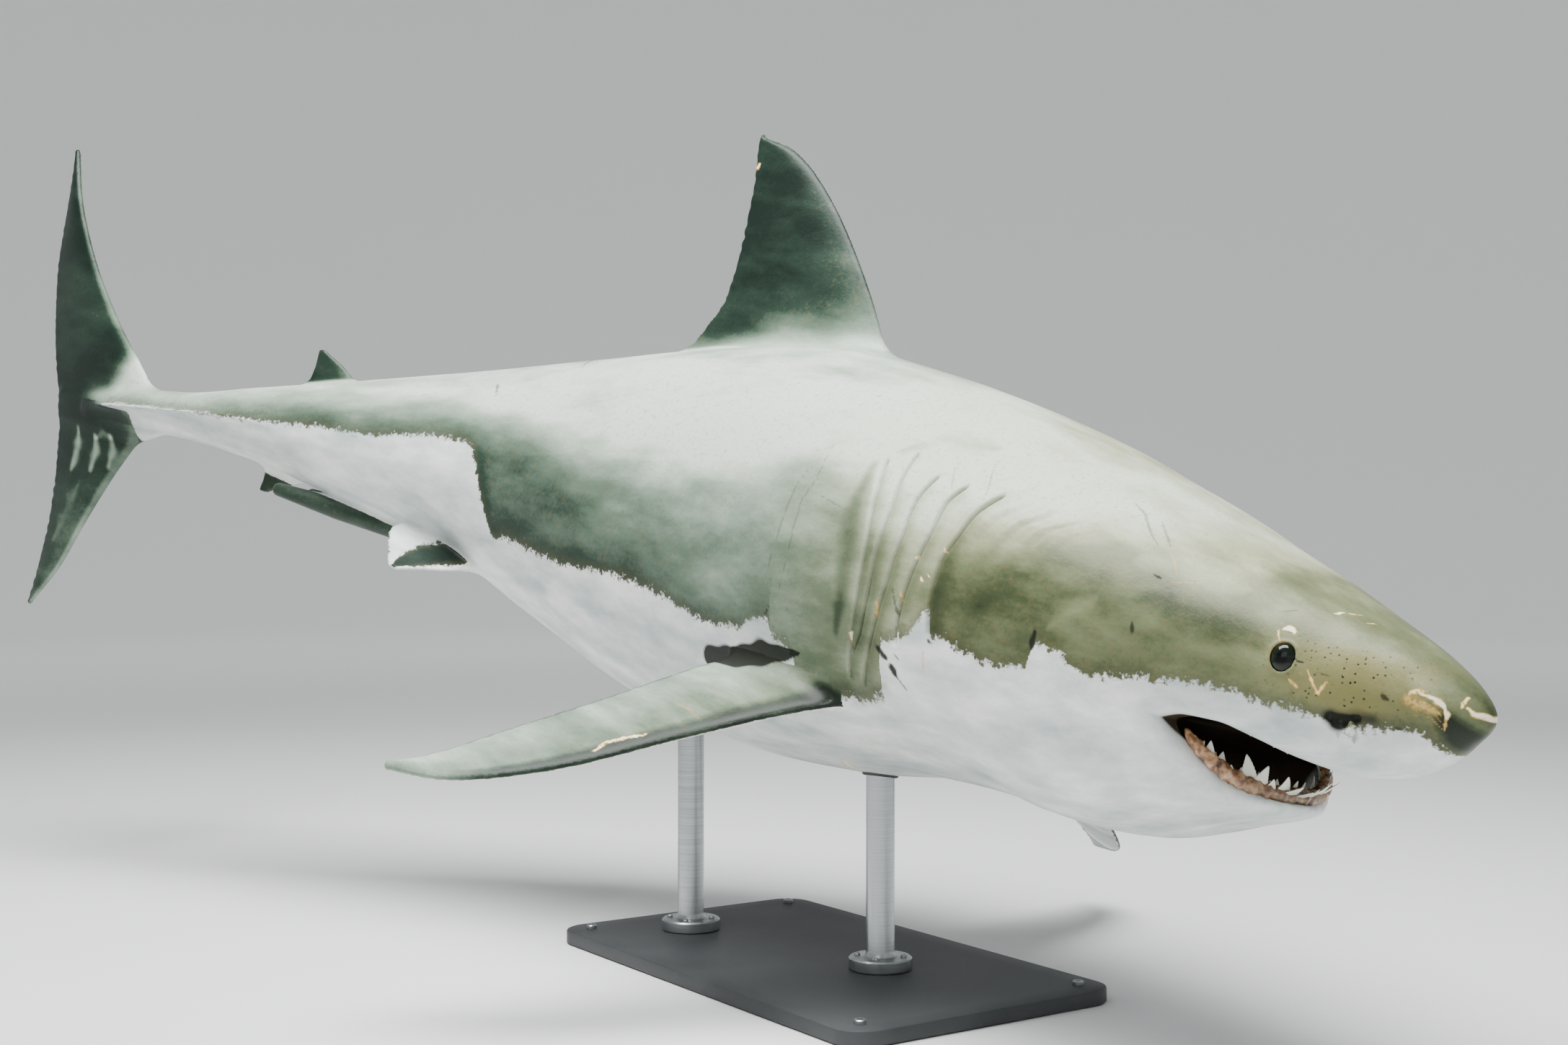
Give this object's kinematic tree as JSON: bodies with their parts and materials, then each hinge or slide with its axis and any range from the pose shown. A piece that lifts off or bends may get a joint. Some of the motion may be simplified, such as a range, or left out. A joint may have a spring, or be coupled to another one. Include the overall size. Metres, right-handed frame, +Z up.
{
  "type": "great white shark model",
  "caption": "Life-size still model of an adult male great white shark, mouth ajar and tail bent, banking on a plain display stand.",
  "frame": {"origin": "middle of the underside of the stand's base plate", "axes": "+X the way the shark's head points, +Y to the shark's left, +Z up from the floor"},
  "size_m": [3.7331, 1.9359, 1.9],
  "materials": {
    "skin": "satin shark skin with fine grain, grey-olive above and white below with a ragged border, scars and scratches",
    "mouth_lining": "moist dull pink lining, dark in the throat",
    "gum_and_teeth": "glossy ivory teeth in moist orange-pink gums",
    "eye": "wet black eye with a blue-black iris",
    "stand_base": "satin charcoal powder coat on a steel plate",
    "stand_rods": "brushed stainless steel"
  },
  "bodies": {
    "root": {"head": "skin", "lower_jaw": "skin", "gill_region": "skin", "trunk_front": "skin", "trunk_rear": "skin", "tail_stock": "skin", "tail_fin": "skin", "first_dorsal_fin": "skin", "second_dorsal_fin": "skin", "anal_fin": "skin", "pectoral_fin_left": "skin", "pelvic_fin_left": "skin", "clasper_left": "skin", "pectoral_fin_right": "skin", "pelvic_fin_right": "skin", "clasper_right": "skin", "upper_gum_with_teeth": "gum_and_teeth", "lower_gum_with_teeth": "gum_and_teeth", "eye_left": "eye", "eye_right": "eye", "stand_base": "stand_base", "stand_rod_front": "stand_rods", "stand_rod_rear": "stand_rods"}
  },
  "joints": []
}
